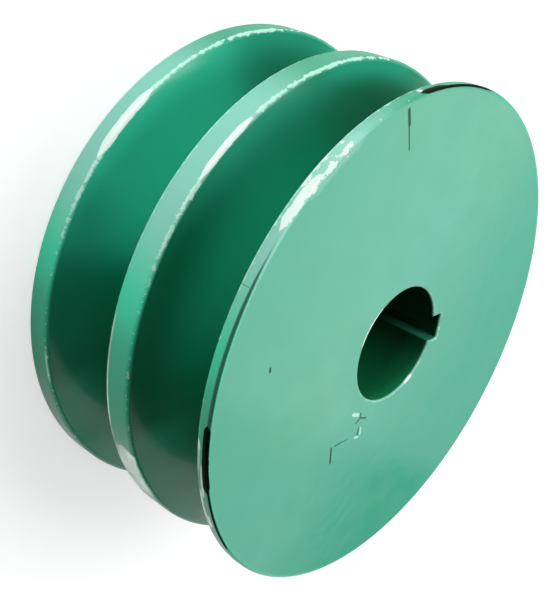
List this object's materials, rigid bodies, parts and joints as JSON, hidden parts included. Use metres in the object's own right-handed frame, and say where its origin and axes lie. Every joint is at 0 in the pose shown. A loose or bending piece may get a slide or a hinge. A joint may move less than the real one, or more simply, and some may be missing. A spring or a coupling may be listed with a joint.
{
  "type": "alternator pulley",
  "caption": "Solid painted metal V-belt pulley for an alternator shaft, with deep belt grooves round the rim, flat faces and a plain keyed bore.",
  "frame": {"origin": "centre of the bore's axis at the flat rear face, which the pulley stands on", "axes": "+Z along the bore towards the front face that the picture shows, +X through the middle of the keyway, +Y completes the right-handed frame"},
  "size_m": [0.072, 0.072, 0.0338],
  "materials": {
    "enamel": "gloss sea green enamel over grey iron"
  },
  "bodies": {
    "root": {"pulley": "enamel"}
  },
  "joints": []
}
